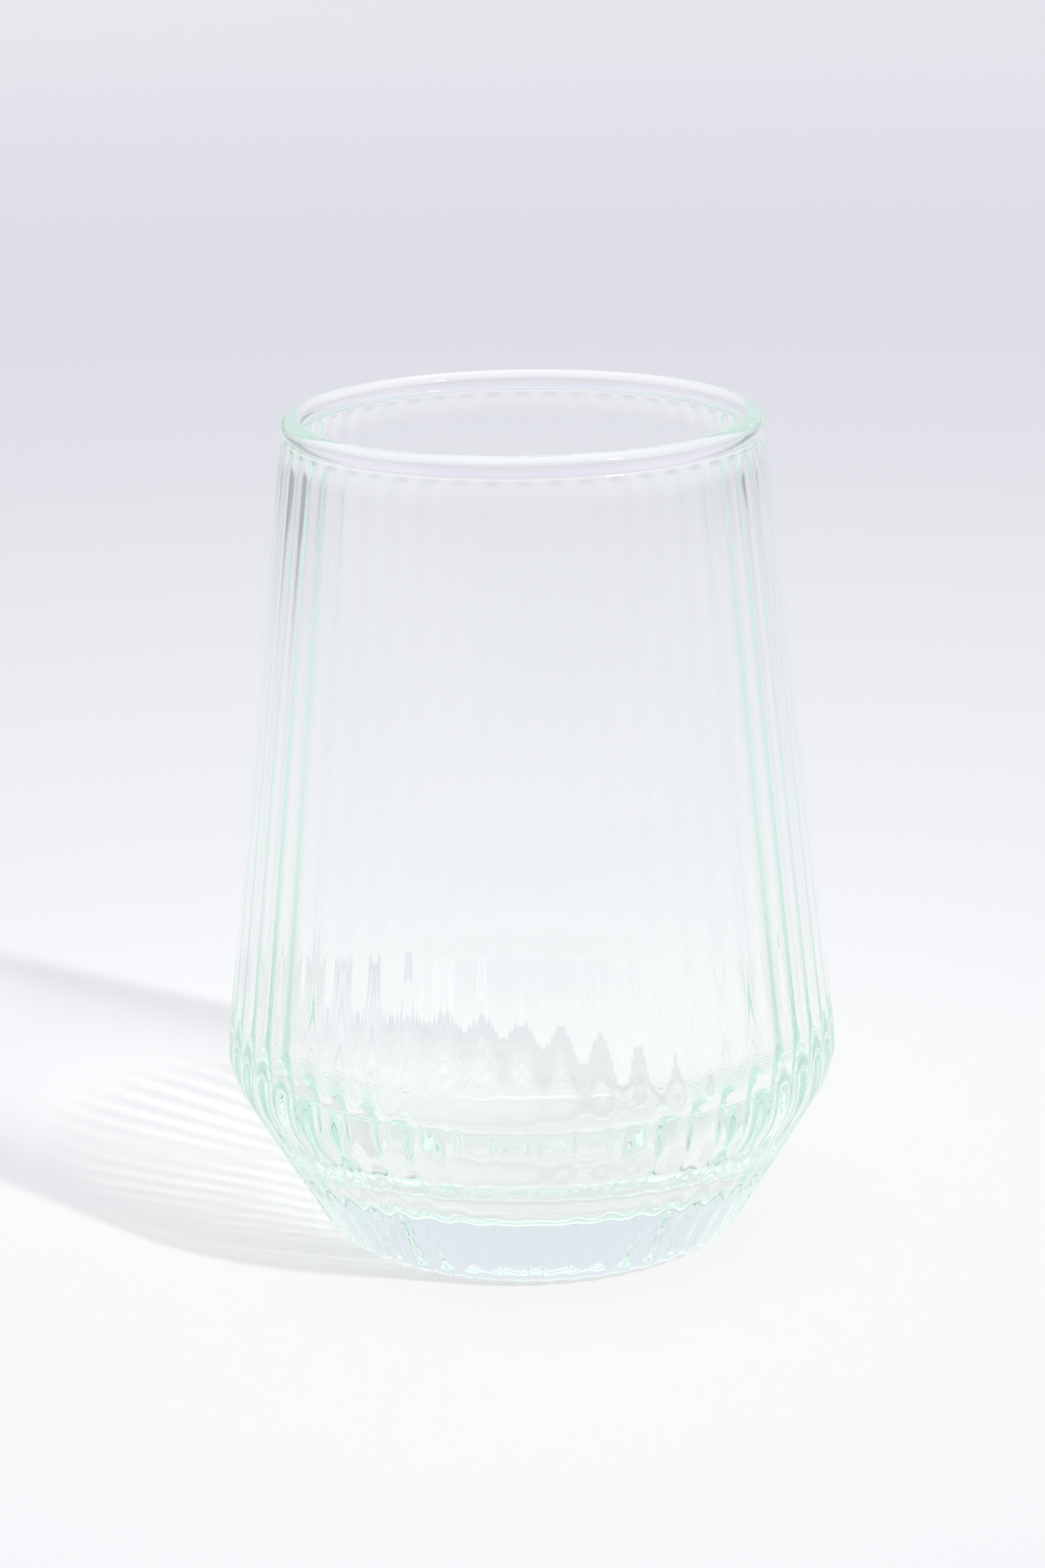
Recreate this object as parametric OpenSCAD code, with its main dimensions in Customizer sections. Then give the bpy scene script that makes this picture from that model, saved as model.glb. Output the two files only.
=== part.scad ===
// Fluted tea tumbler: one piece of pressed glass, narrow at the rim, widest at a low rounded
// shoulder, drawn in again to a small heavy foot. Fine flutes run round the whole outside.

/* [Body] */
// Overall height, foot to top of the rim bead
height = 120; // [105:1:135]
// Outside diameter over the rim bead
rim_d = 68; // [62:0.5:76]
// Diameter of the shoulder corner, before it is rounded
shoulder_d = 89.5; // [84:0.5:96]
// Height of the shoulder corner, before it is rounded
shoulder_z = 25; // [21:0.5:29]
// Radius that rounds the shoulder
shoulder_r = 11; // [7:0.5:13]
// Diameter of the foot corner, before it is rounded
foot_d = 60.5; // [55:0.5:64]
// Radius that rounds the foot
foot_r = 5; // [3:0.5:6]

/* [Rim] */
// Diameter of the fire-polished rim bead's section
bead_d = 3; // [2.6:0.1:3.4]
// Depth of the slight neck under the bead
neck_depth = 0.5; // [0.3:0.05:0.7]
// Length over which the flutes and the wall fade into the neck
neck_l = 4; // [3:0.5:8]

/* [Inside] */
// Thickness of the wall at the rim, from the crests to the inside
wall_t = 2.8; // [2.2:0.1:3.2]
// Thickness of the wall at the shoulder
wall_low_t = 3.6; // [3:0.1:4.4]
// Thickness of the taper under the shoulder
taper_t = 6; // [4.5:0.25:7.5]
// Radius between the inside wall and the inside of the taper
inner_r = 12; // [8:0.5:14]
// Thickness of the heavy floor
floor_t = 11.5; // [9:0.5:14]
// Radius between the inside of the taper and the floor
floor_r = 20; // [14:0.5:22]

/* [Flutes] */
// Number of flutes round the glass
flute_count = 50; // [40:1:60]
// Depth of a flute at the shoulder
flute_depth = 0.3; // [0.2:0.05:0.5]

/* [Underside] */
// Diameter of the shallow hollow under the foot
hollow_d = 40; // [30:1:46]
// Depth of that hollow
hollow_depth = 0.8; // [0.4:0.1:1.5]

/* [Hidden] */
$fn = 96;
// How far a cut runs past the surface it opens
overrun = 1;
// Facets across one flute, and steps along each rounding
facets_per_flute = 6;
foot_steps = 3;
shoulder_steps = 5;
neck_steps = 2;
// How far the collar under the bead stays inside the neck, as a share of the neck's depth
collar_inset_share = 0.25;

// A vector scaled to length one
function unit(v) = v / norm(v);
// A vector turned a quarter left, into the glass for an outline that runs foot to rim
function left(v) = [-v[1], v[0]];
// Distance from a corner to where its rounding starts, for directions u in and v out
function run_in(u, v, r) = r * tan(acos(u * v) / 2);
// Centre of the rounding at a corner
function round_centre(corner, u, v, r) = corner - u * run_in(u, v, r) + left(u) * r;
// Where two lines meet, each given by a point and a direction
function meet(p, u, q, v) = p + u * cross(q - p, v) / cross(u, v);
// A step that starts and ends level, for shares from 0 to 1
function ease(share) = share * share * (3 - 2 * share);

// Outside line of the glass, as radius and height
out = [1, 0];
foot_corner = [foot_d / 2, 0];
shoulder_corner = [shoulder_d / 2, shoulder_z];
bead_r = bead_d / 2;
bead_centre = [rim_d / 2 - bead_r, height - bead_r];
rim_edge = [rim_d / 2, height - bead_r];
taper_dir = unit(shoulder_corner - foot_corner);
wall_dir = unit(rim_edge - shoulder_corner);
foot_centre = round_centre(foot_corner, out, taper_dir, foot_r);
shoulder_centre = round_centre(shoulder_corner, taper_dir, wall_dir, shoulder_r);
widest_r = shoulder_centre[0] + shoulder_r;
taper_angle = atan2(taper_dir[1], taper_dir[0]);
wall_angle = atan2(wall_dir[1], wall_dir[0]);
neck_z = height - bead_d;
function wall_point(z) = shoulder_corner + wall_dir * (z - shoulder_z) / wall_dir[1];

// Inside line: a wall that thickens towards the shoulder, an even taper and a flat floor, with a
// rounding at each of the two corners between them
inner_rim = rim_edge - out * wall_t;
inner_low = shoulder_corner - out * wall_low_t;
inner_dir = unit(inner_rim - inner_low);
taper_point = foot_corner + left(taper_dir) * taper_t;
inner_corner = meet(taper_point, taper_dir, inner_low, inner_dir);
inner_run = run_in(taper_dir, inner_dir, inner_r);
inner_centre = round_centre(inner_corner, taper_dir, inner_dir, inner_r);
floor_corner = meet(taper_point, taper_dir, [0, floor_t], out);
floor_run = run_in(out, taper_dir, floor_r);
floor_centre = round_centre(floor_corner, out, taper_dir, floor_r);
mouth_z = height + overrun;
mouth_point = meet(inner_low, inner_dir, [0, mouth_z], out);

// Rings of the fluted skin, foot to neck: a point on the outside line, the direction out of the
// glass there and the flutes' depth. The flutes grow with the girth and fade in the two roundings.
function depth_at(point, share) = flute_depth * point[0] / widest_r * share;
function ring(centre, r, angle, share) =
    let (normal = [sin(angle), -cos(angle)], point = centre + r * normal)
    [point, normal, depth_at(point, share)];
function neck_ring(share) =
    let (
        line_point = wall_point(neck_z - neck_l * (1 - share)),
        point = line_point + left(wall_dir) * neck_depth * ease(share)
    )
    [point, -left(wall_dir), depth_at(point, 1 - ease(share))];
rings = concat(
    [for (i = [0 : foot_steps])
        ring(foot_centre, foot_r, taper_angle * i / foot_steps, ease(i / foot_steps))],
    [for (i = [0 : shoulder_steps])
        ring(shoulder_centre, shoulder_r,
            taper_angle + (wall_angle - taper_angle) * i / shoulder_steps, 1)],
    [for (i = [0 : neck_steps]) neck_ring(i / neck_steps)]
);

// Underside hollow, a shallow dome
hollow_r = (hollow_d * hollow_d / 4 + hollow_depth * hollow_depth) / (2 * hollow_depth);

// The solid glass from foot to neck, with its flutes: each is one wave of a cosine, crest to crest
module fluted_skin() {
    sides = flute_count * facets_per_flute;
    last = len(rings) - 1;
    points = [
        for (level = rings, k = [0 : sides - 1])
            let (
                angle = 360 * k / sides,
                sink = level[2] * (1 - cos(flute_count * angle)) / 2,
                point = level[0] - level[1] * sink
            )
            [point[0] * cos(angle), point[0] * sin(angle), point[1]]
    ];
    faces = concat(
        [[for (k = [0 : sides - 1]) k]],
        [[for (k = [sides - 1 : -1 : 0]) last * sides + k]],
        [for (j = [0 : last - 1], k = [0 : sides - 1])
            let (a = j * sides + k, b = j * sides + (k + 1) % sides)
            [a, a + sides, b]],
        [for (j = [0 : last - 1], k = [0 : sides - 1])
            let (a = j * sides + k, b = j * sides + (k + 1) % sides)
            [b, a + sides, b + sides]]
    );
    polyhedron(points, faces);
}

// Half section of the space that holds the tea
module inside_section() {
    polygon([
        [0, floor_t],
        floor_corner - out * floor_run,
        floor_corner + taper_dir * floor_run,
        inner_corner - taper_dir * inner_run,
        inner_corner + inner_dir * inner_run,
        mouth_point,
        [0, mouth_z]
    ]);
    translate(inner_centre) circle(inner_r);
    intersection() {
        translate(floor_centre) circle(floor_r);
        square([widest_r, height]);
    }
}

// Half section of the plain collar that carries the bead, let into the neck
module collar_section() {
    neck_r = rings[len(rings) - 1][0][0];
    collar_r = neck_r - neck_depth * collar_inset_share;
    polygon([
        [0, neck_z - bead_r],
        [collar_r, neck_z - bead_r],
        [collar_r, bead_centre[1]],
        [0, bead_centre[1]]
    ]);
}

module tumbler() {
    color([0.86, 0.95, 0.91, 0.5]) {
        difference() {
            union() {
                fluted_skin();
                rotate_extrude() collar_section();
            }
            rotate_extrude() inside_section();
            translate([0, 0, hollow_depth - hollow_r]) sphere(hollow_r);
        }
        rotate_extrude() translate(bead_centre) circle(bead_r);
    }
}

tumbler();
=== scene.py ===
# %% [markdown]
# # A fluted tea glass
# The object is one piece of clear pressed glass: a beaded rim, a fluted wall that widens towards
# the table, a low rounded shoulder, and a fluted taper that ends in a thick solid foot. There is
# nothing to paint on it. Everything that the eye sees is the room, bent by the glass, so this lesson
# puts its effort into the true section of the wall and floor, and into what the glass has to show.

# %% Load the measured solid
import math

import bpy
import numpy as np
from mathutils import Matrix, Vector


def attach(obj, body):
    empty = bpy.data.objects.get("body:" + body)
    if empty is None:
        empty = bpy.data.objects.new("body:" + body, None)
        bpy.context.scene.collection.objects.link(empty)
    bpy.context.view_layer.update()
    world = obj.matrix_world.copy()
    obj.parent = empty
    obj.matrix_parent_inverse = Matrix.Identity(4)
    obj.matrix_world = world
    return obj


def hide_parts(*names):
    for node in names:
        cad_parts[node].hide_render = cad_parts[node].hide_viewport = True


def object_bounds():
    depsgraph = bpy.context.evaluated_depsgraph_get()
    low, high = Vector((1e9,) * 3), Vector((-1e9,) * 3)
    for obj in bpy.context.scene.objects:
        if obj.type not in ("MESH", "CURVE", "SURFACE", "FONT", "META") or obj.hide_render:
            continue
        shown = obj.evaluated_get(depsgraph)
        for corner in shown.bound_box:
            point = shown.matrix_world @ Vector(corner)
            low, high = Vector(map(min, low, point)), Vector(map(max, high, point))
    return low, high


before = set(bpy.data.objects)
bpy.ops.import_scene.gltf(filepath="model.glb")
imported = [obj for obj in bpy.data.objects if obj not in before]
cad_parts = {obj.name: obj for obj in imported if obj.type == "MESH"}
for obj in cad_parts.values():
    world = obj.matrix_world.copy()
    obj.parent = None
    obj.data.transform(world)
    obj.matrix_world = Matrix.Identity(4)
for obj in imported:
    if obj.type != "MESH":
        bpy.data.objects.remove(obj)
cad_low, cad_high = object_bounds()
MM = 0.001
height = (cad_high.z - cad_low.z) / MM
print("measured solid:", [round(v / MM, 1) for v in (cad_high - cad_low)], "mm")

# %% [markdown]
# ## The section of the glass
# A glass like this is a section turned round an axis, with flutes pressed into its outside. The
# section could be traced point by point, but a mould maker draws it as straight lines with rounded
# corners, and glass shows every bump in a traced line. So the section is built from the same few
# sizes as the solid, in millimetres: each corner is cut by an arc that meets both lines smoothly.

# %% The strokes that draw the section
def straight(start, end, steps):
    """Points between two ends, both left out: start + (end - start) * t, with t in even steps."""
    t = np.linspace(0, 1, steps + 2)[1:-1, None]
    return np.array(start) * (1 - t) + np.array(end) * t


def rounded(before, corner, after, radius, steps):
    """An arc that rounds a corner. It touches both lines at radius / tan(half the angle between
    them) from the corner, and its centre lies on the line that halves that angle."""
    before, corner, after = (np.array(p, float) for p in (before, corner, after))
    back = (before - corner) / np.linalg.norm(before - corner)
    on = (after - corner) / np.linalg.norm(after - corner)
    half = np.arccos(back @ on) / 2
    middle = (back + on) / np.linalg.norm(back + on)
    centre = corner + middle * radius / np.sin(half)
    start = corner + back * radius / np.tan(half) - centre
    end = corner + on * radius / np.tan(half) - centre
    first = np.arctan2(start[1], start[0])
    sweep = np.arctan2(end[1], end[0]) - first
    sweep = (sweep + np.pi) % (2 * np.pi) - np.pi
    angle = first + sweep * np.linspace(0, 1, steps)
    return centre + radius * np.stack([np.cos(angle), np.sin(angle)], -1)


def ease(t):
    """A step from 0 to 1 that starts and ends level: 3 t^2 - 2 t^3."""
    t = np.clip(t, 0, 1)
    return t * t * (3 - 2 * t)


print("a square corner rounded by 1:", rounded((0, 2), (0, 0), (2, 0), 1, 3).round(2).tolist())

# %% [markdown]
# ## From the hollow under the foot to the neck
# The outside starts in the middle of the underside: a shallow hollow, a flat ring to stand on, the
# rounded foot, the taper and the rounded shoulder. The wall above is straight until it leans in a
# little under the bead, where the mould's rim ring sat. A sharp groove there would be quicker, but
# glass that was melted round has none, and the lean gives the dark line that sets off the bead.

# %% The underside, the foot and the shoulder
rim_r = 34.0
bead_r = 1.5
shoulder_corner = (44.75, 25.0)
shoulder_r = 11.0
foot_corner = (30.25, 0.0)
foot_r = 5.0
hollow_r = 20.0
hollow_depth = 0.8
bead_z = height - bead_r
t = np.linspace(0, 1, 7)
hollow = np.stack([hollow_r * t, hollow_depth * (1 - t ** 2)], -1)
foot = rounded((0, 0), foot_corner, shoulder_corner, foot_r, 12)
shoulder = rounded(foot_corner, shoulder_corner, (rim_r, bead_z), shoulder_r, 18)
print("shoulder:", round(2 * shoulder[:, 0].max(), 2), "mm across")

# %% The wall and its neck
neck_depth = 0.6
neck_l = 4.0
fade_l = 1.0
neck_gap = 0.1
neck_z = height - 2 * bead_r
wall_slope = (rim_r - shoulder_corner[0]) / (bead_z - shoulder_corner[1])
wall_z = np.concatenate([
    np.linspace(shoulder[-1, 1], neck_z - neck_l, 8)[1:],
    np.linspace(neck_z - neck_l, neck_z - fade_l, 7)[1:],
    np.linspace(neck_z - fade_l, neck_z - neck_gap, 7)[1:],
])


def neck(z):
    """How far the wall leans in under the bead: depth * t^2, with t from 0 to 1 up the neck."""
    return neck_depth * np.clip((z - neck_z + neck_l) / neck_l, 0, 1) ** 2


wall_x = shoulder_corner[0] + wall_slope * (wall_z - shoulder_corner[1]) - neck(wall_z)
wall = np.stack([wall_x, wall_z], -1)
print("neck:", round(2 * wall[-1, 0], 2), "mm across")

# %% The outside line
stand_ring = straight(hollow[-1], foot[0], 3)
taper = straight(foot[-1], shoulder[0], 3)
outside = np.vstack([hollow, stand_ring, foot, taper, shoulder, wall])
print("outside line:", len(outside), "points")

# %% [markdown]
# ## Where the flutes are deep
# Next to each point of the outside goes a share that says how deep the flutes are there. They start
# in the rounding of the foot, where they are cut half as deep again, and fade out just under the
# bead. One depth all over would be simpler, but thick glass swallows shallow flutes, and the foot
# would look smooth.

# %% The flutes' share along the outside
deeper = 0.5
deeper_z = 4.0
deeper_l = 12.0
first_foot = len(hollow) + len(stand_ring)
flute_share = np.zeros(len(outside))
flute_share[first_foot:] = 1
flute_share[first_foot:first_foot + len(foot)] = ease(np.linspace(0, 1, len(foot)))
flute_share *= 1 - ease((outside[:, 1] - neck_z + fade_l) / fade_l)
flute_share *= 1 + deeper * (1 - ease((outside[:, 1] - deeper_z) / deeper_l))
print("deepest share:", round(flute_share.max(), 2))

# %% [markdown]
# ## Over the bead and down the inside
# The rim was melted round after the glass left its mould, so the bead is a full round that stands
# a little proud on both sides. The inside is plain, because a plunger made it: a wall that thickens
# downwards, a taper alongside the outer one and a thick flat floor, with a rounding at each of the
# two turns. One large radius would do for the eye from above, but the bands that the thick foot
# shows from the side would lie at the wrong heights.

# %% The bead
bead_turn = (-60, 214)
around = np.radians(np.linspace(*bead_turn, 24))
bead = np.stack([np.cos(around), np.sin(around)], -1) * bead_r + (rim_r - bead_r, bead_z)
print("bead:", round(2 * bead[:, 0].max(), 2), "mm across")

# %% The wall and the taper inside
wall_t = 2.8
wall_low_t = 3.6
taper_t = 6.0
floor_t = 11.5


def inner_x(z):
    """Radius of the inside at a height: the wall's outer line less the wall's thickness, which
    changes evenly from the shoulder to the rim."""
    up = (z - shoulder_corner[1]) / (bead_z - shoulder_corner[1])
    outer_x = shoulder_corner[0] + (rim_r - shoulder_corner[0]) * up
    return outer_x - wall_low_t - (wall_t - wall_low_t) * up


taper_dir = np.array(shoulder_corner) - foot_corner
taper_dir /= np.linalg.norm(taper_dir)
taper_in = foot_corner + taper_t * np.array([-taper_dir[1], taper_dir[0]])
taper_slope = taper_dir[0] / taper_dir[1]
inner_slope = inner_x(1) - inner_x(0)
turn_z = (inner_x(0) - taper_in[0] + taper_slope * taper_in[1]) / (taper_slope - inner_slope)
inner_turn = (inner_x(turn_z), turn_z)
floor_corner = (taper_in[0] + taper_slope * (floor_t - taper_in[1]), floor_t)
print("inside turns at heights of", round(turn_z, 1), "and", floor_t, "mm")

# %% The inside line and the whole section
inner_r = 12.0
floor_r = 20.0
bead_gap = 0.3
inner_shoulder = rounded((inner_x(neck_z), neck_z), inner_turn, floor_corner, inner_r, 18)
floor = rounded(inner_turn, floor_corner, (0, floor_t), floor_r, 20)
inner_wall_z = np.linspace(bead[-1, 1] - bead_gap, inner_shoulder[0, 1], 7)[:-1]
inside = np.vstack([
    np.stack([inner_x(inner_wall_z), inner_wall_z], -1),
    inner_shoulder,
    straight(inner_shoulder[-1], floor[0], 2),
    floor,
    straight(floor[-1], (0, floor_t), 3),
    [(0, floor_t)],
])
section = np.vstack([outside, bead, inside])
share = np.concatenate([flute_share, np.zeros(len(bead) + len(inside))])
print("whole section:", len(section), "points")

# %% [markdown]
# ## Turning the section, with its flutes
# The section is turned in even steps. Where flutes are pressed in, each point moves into the glass
# along the section's own normal, by a wave with one crest per flute. A flute's width follows the
# girth, so its depth does too. A bump in the material could fake the flutes, but it would leave the
# outline smooth and bend no light through the wall. Both poles are closed with a fan of triangles.

# %% The fluted surface
flute_count = 50
flute_depth = 0.3
steps_per_flute = 14
sides = flute_count * steps_per_flute


def turned_glass(section, share):
    """Rings of points r(u, v), z(u, v): the section p(u), moved in along its normal n(u) by
    depth * share(u) * r(u) / widest r * (1 - cos(count * v)) / 2, and turned to the angle v."""
    along = np.gradient(section, axis=0)
    along /= np.linalg.norm(along, axis=1, keepdims=True)
    normal = np.stack([along[:, 1], -along[:, 0]], -1)
    v = np.arange(sides) * 2 * np.pi / sides
    wave = (1 - np.cos(flute_count * v)) / 2
    sink = flute_depth * share * section[:, 0] / section[:, 0].max()
    r = section[:, :1] - (normal[:, 0] * sink)[:, None] * wave
    z = section[:, 1:] - (normal[:, 1] * sink)[:, None] * wave
    return np.stack([r * np.cos(v), r * np.sin(v), z], -1)


rings = turned_glass(section, share)
print("fluted surface:", rings.shape[0], "rings of", rings.shape[1], "points")

# %% A closed mesh from the rings
def closed_mesh(name, rings):
    """A mesh from rings whose first and last are single points: quads between the rings, and a fan
    of triangles at each pole, wound so that every face points out of the glass."""
    body = rings[1:-1]
    count = len(body) * sides
    points = np.vstack([body.reshape(-1, 3), rings[0, :1], rings[-1, :1]]) * MM
    index = np.arange(count).reshape(-1, sides)
    low, high = index[:-1], index[1:]
    quads = np.stack([low, np.roll(low, -1, 1), np.roll(high, -1, 1), high], -1).reshape(-1, 4)
    first = np.stack([np.full(sides, count), np.roll(index[0], -1), index[0]], -1)
    last = np.stack([np.full(sides, count + 1), index[-1], np.roll(index[-1], -1)], -1)
    mesh = bpy.data.meshes.new(name)
    mesh.from_pydata(points.tolist(), [], quads.tolist() + first.tolist() + last.tolist())
    mesh.polygons.foreach_set("use_smooth", np.ones(len(mesh.polygons), bool))
    mesh.update()
    return mesh


tumbler = bpy.data.objects.new("fluted_tumbler", closed_mesh("fluted_tumbler", rings))
bpy.context.scene.collection.objects.link(tumbler)
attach(tumbler, "root")
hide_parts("tumbler")
print("fluted tumbler:", len(tumbler.data.polygons), "faces")

# %% [markdown]
# ## A shorthand for nodes
# Materials in Blender are nodes joined by wires. They could be added by hand in the editor, but then
# the lesson couldn't be run again, and in a script each one takes several lines. Four helpers keep it
# readable: one puts down any node, one makes a share that climbs while a value crosses a span, one
# lays a colour over another, and one fills a colour ramp. A Mix node has a set of sockets for each
# type of data, so its colour sockets go by number.

# %% Helpers that put down nodes
COLOUR_UNDER, COLOUR_OVER, COLOUR_OUT = 6, 7, 2


def put(tree, kind, sockets=(), **switches):
    """A node of a kind. Switches are its own settings, and sockets are pairs of an input and what it
    gets: the output of another node, or a constant."""
    node = tree.nodes.new("ShaderNode" + kind)
    for name, value in switches.items():
        setattr(node, name, value)
    for name, value in sockets:
        if isinstance(value, bpy.types.NodeSocket):
            tree.links.new(value, node.inputs[name])
        else:
            node.inputs[name].default_value = value
    return node


def share_across(tree, value, span):
    """A share that climbs from 0 to 1, level at both ends, while a value crosses a span."""
    sockets = [("Value", value), ("From Min", span[0]), ("From Max", span[1])]
    return put(tree, "MapRange", sockets, interpolation_type="SMOOTHSTEP").outputs["Result"]


def overlaid(tree, under, over, share, kind="MIX"):
    """One colour laid over another by a share: under * (1 - share) + kind(under, over) * share."""
    sockets = [("Factor", share), (COLOUR_UNDER, under), (COLOUR_OVER, over)]
    return put(tree, "Mix", sockets, data_type="RGBA", blend_type=kind).outputs[COLOUR_OUT]


def colour_stops(ramp, stops):
    """Fills a colour ramp with stops, each a position from 0 to 1 and a colour."""
    while len(ramp.elements) < len(stops):
        ramp.elements.new(0.5)
    for element, (position, colour) in zip(ramp.elements, stops):
        element.position = position
        element.color = (*colour, 1)


print("node helpers: put, share_across, overlaid and colour_stops")

# %% [markdown]
# ## Clear glass with a green edge
# Window-like glass has a little iron in it, so it is colourless across a thin wall and sea green
# where light runs a long way through it: at the sides, in the rim and in the foot. Tinting the
# surface would colour everything alike. Absorption in the volume gives the real effect, because it
# grows with the length of each path. Pressed glass is never quite flat either, so a faint waviness,
# stretched along the height, goes into the normal.

# %% The glass
glass_green = (0.2, 0.887, 0.547, 1)
green_density = 2.4
glass = bpy.data.materials.new("clear_green_glass")
glass.use_nodes = True
tree = glass.node_tree
surface = tree.nodes["Principled BSDF"]
surface.inputs["Base Color"].default_value = (1, 1, 1, 1)
surface.inputs["Metallic"].default_value = 0
surface.inputs["Transmission Weight"].default_value = 1
surface.inputs["IOR"].default_value = 1.5
surface.inputs["Roughness"].default_value = 0
absorb = put(tree, "VolumeAbsorption", [("Color", glass_green), ("Density", green_density)])
print("glass:", glass.name, "with a density of", green_density, "per metre")

# %% The waviness of pressed glass
wave_stretch = (1, 1, 0.25)
wave_scale = 70
wave_strength = 0.04
wave_height = 0.0005
place = put(tree, "TexCoord").outputs["Object"]
stretch = put(tree, "Mapping", [("Vector", place), ("Scale", wave_stretch)])
waves = put(tree, "TexNoise", [
    ("Vector", stretch.outputs["Vector"]),
    ("Scale", wave_scale),
    ("Detail", 1),
])
ripple = put(tree, "Bump", [
    ("Height", waves.outputs["Fac"]),
    ("Strength", wave_strength),
    ("Distance", wave_height),
])
tree.links.new(ripple.outputs["Normal"], surface.inputs["Normal"])
print("waves about", round(1000 / wave_scale, 1), "mm wide")

# %% [markdown]
# ## The light that passes to the floor
# For shadow rays alone, the glass lets light straight through, less of it where the surface is
# steep to the ray. That gives the shadow its dark rim.
#
# Real flutes also gather light into a fan of bright streaks near the foot. True caustics would need
# thousands of samples. Here the low part of the outside passes more light on the crests than in the
# hollows, which draws the same fan.

# %% Less light through steep glass
steepness = [(0.0, 0.96), (0.3, 0.92), (0.5, 0.73), (0.7, 0.37), (1.0, 0.05)]
steep = put(tree, "LayerWeight", [("Blend", 0.5)])
passing = put(tree, "ValToRGB", [("Fac", steep.outputs["Facing"])])
colour_stops(passing.color_ramp, [(facing, (light,) * 3) for facing, light in steepness])
print("light through flat glass:", steepness[0][1], "and along it:", steepness[-1][1])

# %% Streaks of light from the flutes
stripe_light = (0.3, 1.1)
stripe_heights = (0.040, 0.025)
stripe_radii = (0.026, 0.030)
spot = put(tree, "SeparateXYZ", [("Vector", place)])
angle = put(tree, "Math", [(0, spot.outputs["Y"]), (1, spot.outputs["X"])], operation="ARCTAN2")
phase = put(tree, "Math", [(0, angle.outputs["Value"]), (1, flute_count)], operation="MULTIPLY")
crest = put(tree, "Math", [(0, phase.outputs["Value"])], operation="COSINE")
focus = put(tree, "MapRange", [
    ("Value", crest.outputs["Value"]),
    ("From Min", -1),
    ("From Max", 1),
    ("To Min", stripe_light[0]),
    ("To Max", stripe_light[1]),
])
level = put(tree, "VectorMath", [(0, place), (1, (1, 1, 0))], operation="MULTIPLY")
girth = put(tree, "VectorMath", [(0, level.outputs["Vector"])], operation="LENGTH")
low_down = share_across(tree, spot.outputs["Z"], stripe_heights)
outer = share_across(tree, girth.outputs["Value"], stripe_radii)
fluted = put(tree, "Math", [(0, low_down), (1, outer)], operation="MULTIPLY").outputs["Value"]
streaks = overlaid(tree, passing.outputs["Color"], focus.outputs["Result"], fluted, "MULTIPLY")
print("streaks:", flute_count, "up to a height of", stripe_heights[0], "m")

# %% Join the glass and its shadow
ray = put(tree, "LightPath")
through = put(tree, "BsdfTransparent", [("Color", streaks)])
choose = put(tree, "MixShader", [
    ("Fac", ray.outputs["Is Shadow Ray"]),
    (1, surface.outputs["BSDF"]),
    (2, through.outputs["BSDF"]),
])
end = tree.nodes["Material Output"]
tree.links.new(choose.outputs["Shader"], end.inputs["Surface"])
tree.links.new(absorb.outputs["Volume"], end.inputs["Volume"])
tumbler.data.materials.append(glass)
print("glass material:", len(tree.nodes), "nodes")

# %% [markdown]
# ## The table and the room behind it
# The glass stands on a pale sweep whose colour carries a painted pool of light: brightest round the
# glass and falling to a bluish grey further back. A flat plane would end in a hard line, which the
# glass would show many times over, so the floor is a disc whose edge curves up. Clear glass has only
# its surroundings to show, and the dark lines on its outermost flutes come from painted shade: two
# corners of the sweep behind the glass, out of the camera's view, are painted dim like the unlit
# corners of a room.

# %% The sweep's shape
def round_sweep(flat, rise, steps=24, sides=96):
    """A disc that curves up at its edge: r = flat + rise * sin(a), z = rise * (1 - cos(a)), for a
    from 0 to 90 degrees."""
    a = np.linspace(0, np.pi / 2, steps)
    r = np.concatenate([[0.02, 0.3 * flat, 0.65 * flat], flat + rise * np.sin(a)])
    z = np.concatenate([[0, 0, 0], rise * (1 - np.cos(a))])
    v = np.arange(sides) * 2 * np.pi / sides
    x, y = r[:, None] * np.cos(v), r[:, None] * np.sin(v)
    points = np.stack([x, y, np.repeat(z[:, None], sides, 1)], -1).reshape(-1, 3)
    index = np.arange(len(points)).reshape(-1, sides)
    low, high = index[:-1], index[1:]
    quads = np.stack([low, high, np.roll(high, -1, 1), np.roll(low, -1, 1)], -1).reshape(-1, 4)
    mesh = bpy.data.meshes.new("floor_sweep")
    mesh.from_pydata(points.tolist(), [], quads.tolist() + [index[0].tolist()])
    mesh.polygons.foreach_set("use_smooth", np.ones(len(mesh.polygons), bool))
    mesh.update()
    return mesh


sweep_flat = 1.6
sweep_rise = 0.3
sweep = bpy.data.objects.new("floor_sweep", round_sweep(sweep_flat, sweep_rise))
bpy.context.scene.collection.objects.link(sweep)
print("floor sweep:", len(sweep.data.polygons), "faces")

# %% Its tones: a painted pool of light, from the glass outwards
paper = bpy.data.materials.new("pale_paper")
paper.use_nodes = True
tree = paper.node_tree
tone_reach = 2.0
# Painted light: the floor's colour is brightest under and round the glass and darker further out, a
# pool of light painted into the colour
tones = [
    (0.00, (0.989, 1.000, 1.000)),
    (0.05, (0.949, 0.966, 0.992)),
    (0.09, (0.895, 0.912, 0.949)),
    (0.16, (0.836, 0.853, 0.896)),
    (0.28, (0.757, 0.770, 0.832)),
    (0.40, (0.717, 0.725, 0.799)),
    (0.48, (0.717, 0.725, 0.799)),
    (1.00, (0.771, 0.780, 0.840)),
]
where = put(tree, "TexCoord").outputs["Object"]
shrink = put(tree, "Mapping", [("Vector", where), ("Scale", (1 / tone_reach,) * 3)])
distance = put(tree, "VectorMath", [(0, shrink.outputs["Vector"])], operation="LENGTH")
tone = put(tree, "ValToRGB", [("Fac", distance.outputs["Value"])])
colour_stops(tone.color_ramp, tones)
print("floor tones:", len(tones), "out to", tone_reach, "m")
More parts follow.
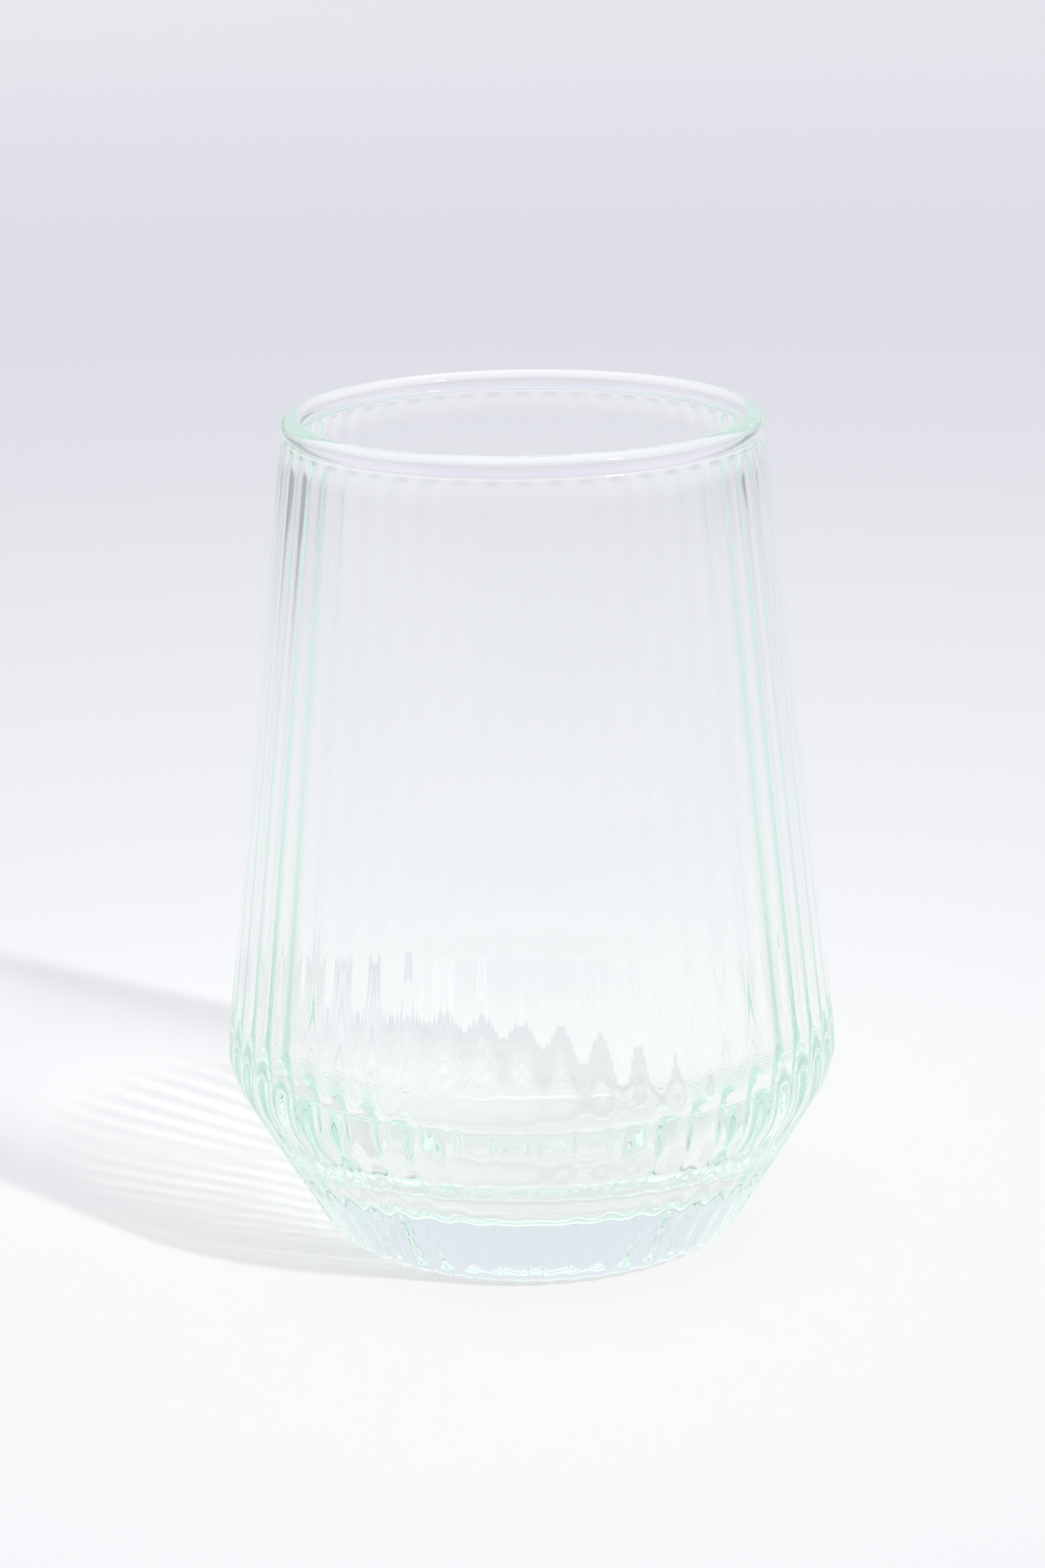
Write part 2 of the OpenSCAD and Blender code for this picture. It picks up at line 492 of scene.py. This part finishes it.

# %% The painted shade in two corners of the room
# Painted shade: behind the glass and off to each side, the floor's colour is darkened to stand in for
# unlit corners of a room
aside_from = 0.2
aside_span = (0.52, 0.72)
behind_span = (0.2, 0.5)
corner_shade_tone = 0.55
axis = put(tree, "SeparateXYZ", [("Vector", where)])
shifted = put(tree, "Math", [(0, axis.outputs["X"]), (1, aside_from)], operation="SUBTRACT")
aside = put(tree, "Math", [(0, shifted.outputs["Value"])], operation="ABSOLUTE")
past_side = share_across(tree, aside.outputs["Value"], aside_span)
past_back = share_across(tree, axis.outputs["Y"], behind_span)
corner = put(tree, "Math", [(0, past_side), (1, past_back)], operation="MULTIPLY")
painted_corner_shade = put(tree, "MapRange", [
    ("Value", corner.outputs["Value"]),
    ("To Min", 1),
    ("To Max", corner_shade_tone),
])
# The floor's colour now holds the pale tone, the painted pool of light and the painted corner shade
floor_with_painted_light = overlaid(tree, tone.outputs["Color"], painted_corner_shade.outputs["Result"], 1, "MULTIPLY")
print("dim corners begin", aside_span[0], "m to the side and", behind_span[0], "m behind")

# %% [markdown]
# ## A pale floor that keeps its shadow
# A pale floor under enough lamps to make it white would put too much light on the glass. So a part
# of its tone is a soft glow, for the camera and for the rays that glass reflects and bends, and the
# rest is real light on a matt surface, which keeps the shadow. Matt surfaces see a plain floor.

# %% Glow for what is seen, matt for the shadow
glow_share = 0.578
lit_share = 0.36
matt = tree.nodes["Principled BSDF"]
matt.inputs["Roughness"].default_value = 0.9
matt.inputs["Specular IOR Level"].default_value = 0.1
lit_tone = overlaid(tree, floor_with_painted_light, (lit_share, lit_share, lit_share, 1), 1, "MULTIPLY")
tree.links.new(lit_tone, matt.inputs["Base Color"])
glow = put(tree, "Emission", [("Color", floor_with_painted_light), ("Strength", glow_share)])
both = put(tree, "AddShader", [(0, matt.outputs["BSDF"]), (1, glow.outputs["Emission"])])
plain = put(tree, "BsdfDiffuse", [("Color", floor_with_painted_light)])
ray = put(tree, "LightPath").outputs
mirrored = put(tree, "Math", [
    (0, ray["Is Camera Ray"]),
    (1, ray["Is Glossy Ray"]),
], operation="MAXIMUM")
seen = put(tree, "Math", [
    (0, mirrored.outputs["Value"]),
    (1, ray["Is Transmission Ray"]),
], operation="MAXIMUM")
pick = put(tree, "MixShader", [
    ("Fac", seen.outputs["Value"]),
    (1, plain.outputs["BSDF"]),
    (2, both.outputs["Shader"]),
])
tree.links.new(pick.outputs["Shader"], tree.nodes["Material Output"].inputs["Surface"])
sweep.data.materials.append(paper)
print("floor material:", len(tree.nodes), "nodes")

# %% [markdown]
# ## Lamps
# One hard sun stands to the right of the camera, so the shadow falls to the left and back. Glass
# would show that small sun as scattered white dots, so it lights matt surfaces only. A second,
# wider and weaker sun in the same place is seen in the glass alone and gives it soft glints.

# %% The two suns
key_azimuth = math.radians(-40)
key_height = math.radians(38)
key_from = Vector((
    math.cos(key_height) * math.cos(key_azimuth),
    math.cos(key_height) * math.sin(key_azimuth),
    math.sin(key_height),
))


def sun(name, energy, spread, colour=(1, 1, 1)):
    """A sun that shines from the key's direction, as wide as a spread in degrees."""
    lamp = bpy.data.objects.new(name, bpy.data.lights.new(name, "SUN"))
    lamp.data.color = colour
    lamp.data.energy = energy
    lamp.data.angle = math.radians(spread)
    lamp.rotation_euler = key_from.to_track_quat("Z", "Y").to_euler()
    bpy.context.scene.collection.objects.link(lamp)
    return lamp


key_energy = 2.65
key_spread = 2.5
key_colour = (1, 0.95, 0.87)
key = sun("key_lamp", key_energy, key_spread, key_colour)
key.visible_glossy = False
key.visible_transmission = False
glint_energy = 1.0
glint_spread = 6.0
glint = sun("glint_lamp", glint_energy, glint_spread)
glint.visible_diffuse = False
print("key lamp from", [round(v, 2) for v in key_from])

# %% [markdown]
# ## The sky of the room
# An even sky would be simplest, but clear glass would vanish in it. So the sky is bright overhead
# and at the sides, bluish behind, where the foot looks, and dim low in front, where the neck looks.
# For matt surfaces all of it comes down to a plain level, so that colours look as they are written.

# %% The world
side_tone = (1.20, 1.20, 1.22, 1)
edge_tone = (0.80, 0.80, 0.83, 1)
back_tone = (0.815, 0.785, 0.90, 1)
front_tone = (0.45, 0.45, 0.48, 1)
top_tone = (1.40, 1.41, 1.44, 1)
side_span = (0.1, 0.45)
back_span = (0.5, 0.8)
front_span = (-0.4, -0.7)
top_span = (0.6, 0.85)
fill_level = 0.55
room = bpy.data.worlds.new("pale_room")
bpy.context.scene.world = room
room.use_nodes = True
room.cycles.sampling_method = "NONE"
tree = room.node_tree
axis = put(tree, "SeparateXYZ", [("Vector", put(tree, "TexCoord").outputs["Generated"])])
sky = overlaid(tree, edge_tone, side_tone, share_across(tree, axis.outputs["Z"], side_span))
sky = overlaid(tree, sky, back_tone, share_across(tree, axis.outputs["Y"], back_span))
sky = overlaid(tree, sky, front_tone, share_across(tree, axis.outputs["Y"], front_span))
sky = overlaid(tree, sky, top_tone, share_across(tree, axis.outputs["Z"], top_span))
matt_ray = put(tree, "LightPath").outputs["Is Diffuse Ray"]
sky = overlaid(tree, sky, (fill_level, fill_level, fill_level, 1), matt_ray, "MULTIPLY")
fill = tree.nodes["Background"]
fill.inputs["Strength"].default_value = 1
tree.links.new(sky, fill.inputs["Color"])
print("world:", room.name, "at", fill_level, "for matt surfaces")

# %% [markdown]
# ## Camera
# The rim's ellipse and the narrowing of the walls fix the view: a long lens about half a metre in
# front, a hand's width above the rim, tipped down sixteen degrees and turned by less than one.

# %% The camera
tip = math.radians(16.02)
roll = math.radians(0.9)
camera_gap = 0.5766
back = Vector((0, -math.cos(tip), math.sin(tip)))
right = Vector((1, 0, 0))
up = back.cross(right)
side = right * math.cos(roll) - up * math.sin(roll)
upward = right * math.sin(roll) + up * math.cos(roll)
target = Vector((-0.00077, 0, 0.0654))
stand = target + back * camera_gap
camera = bpy.data.objects.new("camera", bpy.data.cameras.new("camera"))
camera.data.lens = 91.84
camera.data.sensor_width = 36
camera.matrix_world = Matrix((
    (side.x, upward.x, back.x, stand.x),
    (side.y, upward.y, back.y, stand.y),
    (side.z, upward.z, back.z, stand.z),
    (0, 0, 0, 1),
))
scene = bpy.context.scene
scene.collection.objects.link(camera)
scene.camera = camera
print("camera at", [round(v, 4) for v in stand])

# %% [markdown]
# ## Enough bounces for the foot
# Light that is caught in the thick foot turns many corners before it gets out. With the usual limit
# those paths end as black lines, so the number of bounces is raised. A few of them would end as
# white specks, so what one path may add is capped.

# %% Bounces and the view
glass_bounces = 64
scene.cycles.max_bounces = glass_bounces
scene.cycles.transmission_bounces = glass_bounces
scene.cycles.glossy_bounces = glass_bounces
scene.cycles.sample_clamp_indirect = 3
scene.view_settings.view_transform = "Standard"
print("bounces:", glass_bounces)
